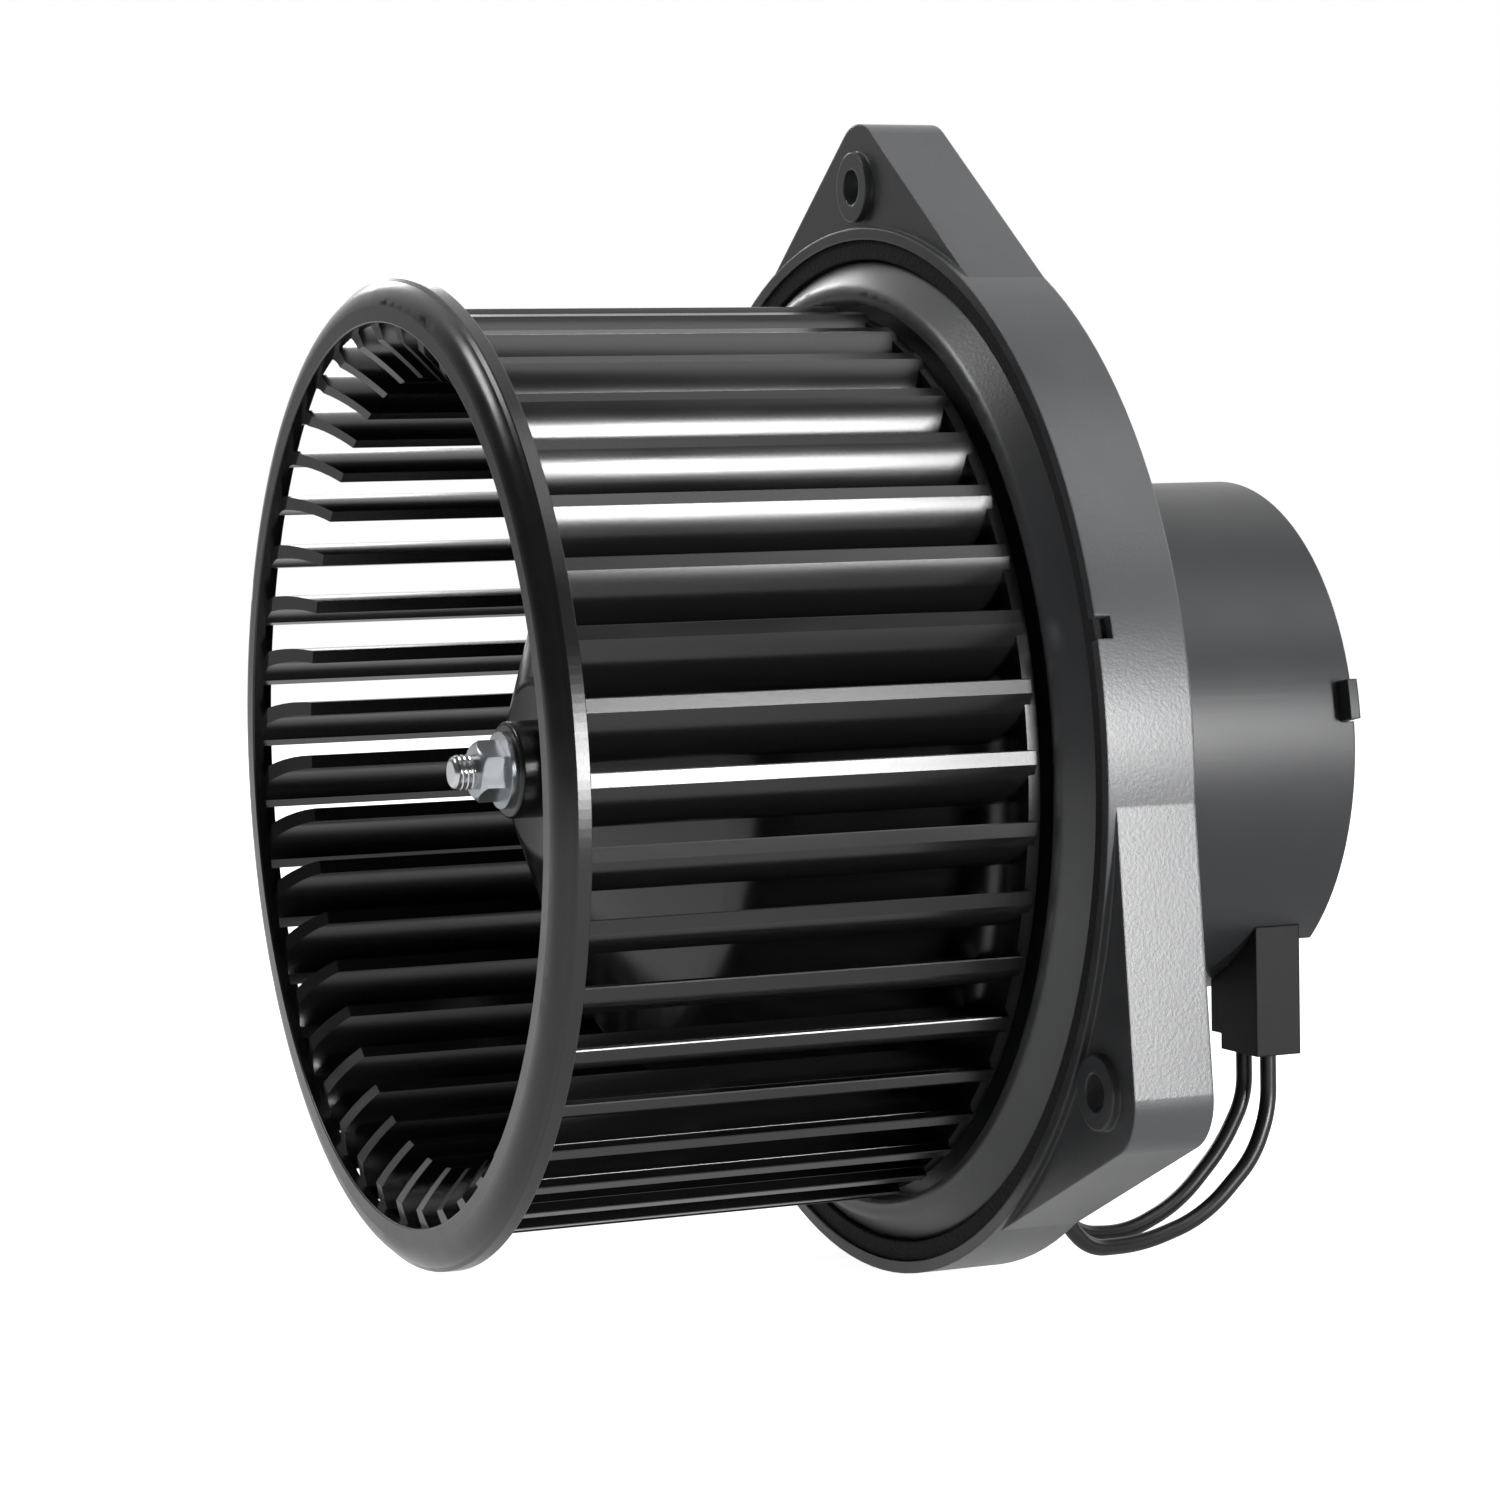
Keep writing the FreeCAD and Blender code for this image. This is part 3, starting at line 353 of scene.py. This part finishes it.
# the filler drifts in the melt, in clouds of about 25 mm
cloud = add(tree, "TexNoise", values={"Scale": 40.0, "Detail": 4.0}, links={"Vector": place})
tone = add(tree, "ValToRGB", links={"Fac": cloud.outputs["Fac"]})
tone.color_ramp.elements[0].position = 0.35
tone.color_ramp.elements[0].color = linear("#424345")
tone.color_ramp.elements[1].position = 0.65
tone.color_ramp.elements[1].color = linear("#4c4d4f")
tree.links.new(tone.outputs["Color"], shader.inputs["Base Color"])
dress(flange_grey, "flange")


# Flange seal
# A ring of closed-cell black foam, cut from sheet and glued into the groove, 0.6 mm below the
# flange's rim. It is full of small bubbles with a dull skin.
foam_black, tree, shader, place, edge = surface("closed_cell_foam", "#0e0e0e", 0.85, edge_mm=0.6)
# the bubbles are 0.7 mm across
bubbles = add(tree, "TexVoronoi", values={"Scale": 1400.0}, links={"Vector": place})
cells = add(tree, "Bump", values={"Strength": 0.5, "Distance": 0.0002},
            links={"Height": bubbles.outputs["Distance"], "Normal": edge})
tree.links.new(cells.outputs[0], shader.inputs["Normal"])
dress(foam_black, "flange_seal")


# Motor shell
# A deep-drawn steel cup and a pressed end plate, dip-coated dark grey, held by a steel band on
# three rubber bushes. The cup's rim is staked over the end plate, on both sides of each of its
# three ears.
coated_steel, tree, shader, place, edge = surface("dip_coated_steel", "#2c2d2f", 0.36, edge_mm=0.4)
# drawing lines in the steel, 1 mm wide and 20 mm long, print through the coat
stretch = add(tree, "Mapping", values={"Scale": (0.04, 1.0, 1.0)}, links={"Vector": place})
drawn = add(tree, "TexNoise", values={"Scale": 1100.0, "Detail": 2.0},
            links={"Vector": stretch.outputs[0]})
lines = add(tree, "Bump", values={"Strength": 0.10, "Distance": 0.0001},
            links={"Height": drawn.outputs["Fac"], "Normal": edge})
tree.links.new(lines.outputs[0], shader.inputs["Normal"])
# the coat is a little duller where it ran thick, in patches of 12 mm
runs = add(tree, "TexNoise", values={"Scale": 85.0, "Detail": 3.0}, links={"Vector": place})
gloss = add(tree, "MapRange", values={"To Min": 0.31, "To Max": 0.42},
            links={"Value": runs.outputs["Fac"]})
tree.links.new(gloss.outputs[0], shader.inputs["Roughness"])
dress(coated_steel, "motor_can", "tail_cap", "motor_bracket")

# each stake is a flat drop of steel, 3 mm long round the rim, 1.6 mm wide and 0.8 mm thick, that
# lies on the end plate, level with the cup's rim
ear_count = 3
ear_phase = 80
stake_aside = 7
stake_circle = 0.0385
stake_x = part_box("motor_can")[1][0] - 0.0004
stake_shape = Matrix.Diagonal((0.0004, 0.0015, 0.0008, 1.0))
mesh = bmesh.new()
for ear in range(ear_count):
    for aside in (-stake_aside, stake_aside):
        angle = math.radians(ear_phase + 360 / ear_count * ear + aside)
        at = Vector((stake_x, -stake_circle * math.sin(angle), stake_circle * math.cos(angle)))
        put = Matrix.Translation(at) @ Matrix.Rotation(angle, 4, "X")
        bmesh.ops.create_icosphere(mesh, subdivisions=3, radius=1.0, matrix=put @ stake_shape)
rim_stakes = mesh_object("rim_stakes", mesh, coated_steel)
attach(rim_stakes, "housing")

isolator_rubber, tree, shader, place, edge = surface("moulded_rubber", "#161616", 0.7, edge_mm=0.3)
# release powder from the mould clings to the skin in specks of 1.4 mm
dust = add(tree, "TexNoise", values={"Scale": 700.0, "Detail": 3.0}, links={"Vector": place})
skin = add(tree, "Bump", values={"Strength": 0.2, "Distance": 0.0001},
           links={"Height": dust.outputs["Fac"], "Normal": edge})
tree.links.new(skin.outputs[0], shader.inputs["Normal"])
dress(isolator_rubber, "isolators")


# Connector block and socket
# Two small mouldings in black nylon, one hung from the motor's tail and one on the flange.
# They are moulded in an eroded tool, so they are duller than the wheel.
nylon_black, tree, shader, place, edge = surface("moulded_black_nylon", "#0e0e0e", 0.55,
                                                 edge_mm=0.4, Specular_IOR_Level=0.25)
# spark-eroded grain, drawn in pits of 0.4 mm so that it shows
grain = add(tree, "TexNoise", values={"Scale": 2500.0, "Detail": 2.0}, links={"Vector": place})
skin = add(tree, "Bump", values={"Strength": 0.2, "Distance": 0.0001},
           links={"Height": grain.outputs["Fac"], "Normal": edge})
tree.links.new(skin.outputs[0], shader.inputs["Normal"])
dress(nylon_black, "connector_block", "lead_socket")

terminal_brass, tree, shader, place, edge = surface("stamped_brass", "#c9a95c", 0.28, Metallic=1.0)
# the rolled strip is uneven in its gloss, in specks of 0.3 mm
rolled = add(tree, "TexNoise", values={"Scale": 3000.0, "Detail": 1.0}, links={"Vector": place})
gloss = add(tree, "MapRange", values={"To Min": 0.20, "To Max": 0.40},
            links={"Value": rolled.outputs["Fac"]})
tree.links.new(gloss.outputs[0], shader.inputs["Roughness"])
dress(terminal_brass, "block_terminals", "socket_pins")


# Leads
# Two wires of stranded copper in extruded black PVC. They run in a loop from the block to the
# socket on the flange's back, and are long enough to let the motor shake on its rubber.
lead_sheath, tree, shader, place, edge = surface("extruded_pvc", "#0f0f10", 0.34)
# the strands under the sheath print through as a ripple of 2.4 mm in its gloss
ripple = add(tree, "TexNoise", values={"Scale": 420.0, "Detail": 2.0}, links={"Vector": place})
gloss = add(tree, "MapRange", values={"To Min": 0.28, "To Max": 0.42},
            links={"Value": ripple.outputs["Fac"]})
tree.links.new(gloss.outputs[0], shader.inputs["Roughness"])
skin = add(tree, "Bump", values={"Strength": 0.08, "Distance": 0.0001},
           links={"Height": ripple.outputs["Fac"], "Normal": edge})
tree.links.new(skin.outputs[0], shader.inputs["Normal"])
dress(lead_sheath, "lead_outer", "lead_inner")


# Core, coils and commutator
# Slotted steel sheets pressed on the shaft and wound with enamelled copper. The commutator's
# bars are turned true on the shaft, which leaves fine rings in the copper.
core_steel, tree, shader, place, edge = surface("laminated_steel", "#77787a", 0.45, Metallic=1.0)
# the sheets are 0.5 mm thick, drawn 1 mm apart so that they show, and darker at the joints
sheets = add(tree, "TexWave", values={"Scale": 318.0}, links={"Vector": place}, bands_direction="X")
tone = add(tree, "ValToRGB", links={"Fac": sheets.outputs["Fac"]})
tone.color_ramp.elements[0].color = linear("#3f4042")
tone.color_ramp.elements[1].position = 0.4
tone.color_ramp.elements[1].color = linear("#808184")
tree.links.new(tone.outputs["Color"], shader.inputs["Base Color"])
joints = add(tree, "Bump", values={"Strength": 0.4, "Distance": 0.0001},
             links={"Height": sheets.outputs["Fac"], "Normal": edge})
tree.links.new(joints.outputs[0], shader.inputs["Normal"])
dress(core_steel, "armature_core")

enamel_copper, tree, shader, place, edge = surface("enamelled_copper", "#a5562b", 0.35,
                                                   Metallic=1.0)
# turns of 0.6 mm wire lie side by side, each a little off the next, drawn 1.4 mm apart to show
turns = add(tree, "TexWave", links={"Vector": place}, bands_direction="DIAGONAL",
            values={"Scale": 260.0, "Distortion": 3.0, "Detail": 1.0, "Detail Scale": 0.6})
strands = add(tree, "Bump", values={"Strength": 0.9, "Distance": 0.0003},
              links={"Height": turns.outputs["Fac"], "Normal": edge})
tree.links.new(strands.outputs[0], shader.inputs["Normal"])
# the colour follows the same bands, darker in the valleys between the turns: painted shade in the
# crevices
tone = add(tree, "ValToRGB", links={"Fac": turns.outputs["Fac"]})
tone.color_ramp.elements[0].color = linear("#6b3218")
tone.color_ramp.elements[1].position = 0.5
tone.color_ramp.elements[1].color = linear("#b05f30")
tree.links.new(tone.outputs["Color"], shader.inputs["Base Color"])
dress(enamel_copper, "armature_windings")

turned_copper, tree, shader, place, edge = surface("turned_copper", "#c98a63", 0.25, Metallic=1.0)
# the turning tool leaves a groove every 0.3 mm
grooves = add(tree, "TexWave", values={"Scale": 1000.0, "Distortion": 0.4},
              links={"Vector": place}, bands_direction="X")
cut = add(tree, "Bump", values={"Strength": 0.15, "Distance": 0.00005},
          links={"Height": grooves.outputs["Fac"], "Normal": edge})
tree.links.new(cut.outputs[0], shader.inputs["Normal"])
dress(turned_copper, "commutator")

phenolic, tree, shader, place, edge = surface("phenolic_moulding", "#5b3a26", 0.5, edge_mm=0.2)
# wood flour in the resin mottles it in specks of 1 mm
filler = add(tree, "TexNoise", values={"Scale": 1000.0, "Detail": 4.0}, links={"Vector": place})
tone = add(tree, "ValToRGB", links={"Fac": filler.outputs["Fac"]})
tone.color_ramp.elements[0].position = 0.35
tone.color_ramp.elements[0].color = linear("#4a2e1d")
tone.color_ramp.elements[1].position = 0.65
tone.color_ramp.elements[1].color = linear("#694630")
tree.links.new(tone.outputs["Color"], shader.inputs["Base Color"])
tree.links.new(edge, shader.inputs["Normal"])
dress(phenolic, "core_spider_front", "core_spider_rear", "brush_card", "thrust_washer_front",
      "thrust_washer_rear")


# Bearings, brushes and magnets
# Porous bronze bushes, pressed carbon brushes on steel springs, and two ground ferrite arcs.
bronze, tree, shader, place, edge = surface("sintered_bronze", "#8f7040", 0.55, Metallic=1.0)
# open pores between the sintered grains, drawn 0.4 mm across so that they show
pores = add(tree, "TexVoronoi", values={"Scale": 2600.0}, links={"Vector": place})
open_pores = add(tree, "Bump", values={"Strength": 0.4, "Distance": 0.0001},
                 links={"Height": pores.outputs["Distance"], "Normal": edge})
tree.links.new(open_pores.outputs[0], shader.inputs["Normal"])
dress(bronze, "bearing_front", "bearing_rear")

carbon, tree, shader, place, edge = surface("pressed_carbon", "#1d1d1d", 0.6, edge_mm=0.2)
# flecks of copper powder in the graphite, 0.3 mm across
powder = add(tree, "TexNoise", values={"Scale": 3200.0, "Detail": 2.0}, links={"Vector": place})
tone = add(tree, "ValToRGB", links={"Fac": powder.outputs["Fac"]})
tone.color_ramp.elements[0].position = 0.58
tone.color_ramp.elements[0].color = linear("#1b1b1c")
tone.color_ramp.elements[1].position = 0.70
tone.color_ramp.elements[1].color = linear("#5a3f31")
tree.links.new(tone.outputs["Color"], shader.inputs["Base Color"])
tree.links.new(edge, shader.inputs["Normal"])
dress(carbon, "brush_upper", "brush_lower")

ferrite, tree, shader, place, edge = surface("ground_ferrite", "#2c2c2d", 0.6, edge_mm=0.4)
# grinding scratches run along the motor, drawn 0.7 mm wide and 7 mm long so that they show
scratches = add(tree, "Mapping", values={"Scale": (0.1, 1.0, 1.0)}, links={"Vector": place})
ground = add(tree, "TexNoise", values={"Scale": 1500.0, "Detail": 3.0},
             links={"Vector": scratches.outputs[0]})
worked = add(tree, "Bump", values={"Strength": 0.25, "Distance": 0.0001},
             links={"Height": ground.outputs["Fac"], "Normal": edge})
tree.links.new(worked.outputs[0], shader.inputs["Normal"])
dress(ferrite, "magnet_upper", "magnet_lower")

spring_steel, tree, shader, place, edge = surface("spring_steel", "#8a8c90", 0.3, Metallic=1.0)
# blue and straw tempering colours drift over the strip in patches of 8 mm
temper = add(tree, "TexNoise", values={"Scale": 125.0, "Detail": 2.0}, links={"Vector": place})
tone = add(tree, "ValToRGB", links={"Fac": temper.outputs["Fac"]})
tone.color_ramp.elements[0].position = 0.35
tone.color_ramp.elements[0].color = linear("#7f858f")
tone.color_ramp.elements[1].position = 0.65
tone.color_ramp.elements[1].color = linear("#96938c")
tree.links.new(tone.outputs["Color"], shader.inputs["Base Color"])
dress(spring_steel, "magnet_clips", "bearing_retainer_front", "bearing_retainer_rear",
      "brush_spring_upper", "brush_spring_lower")
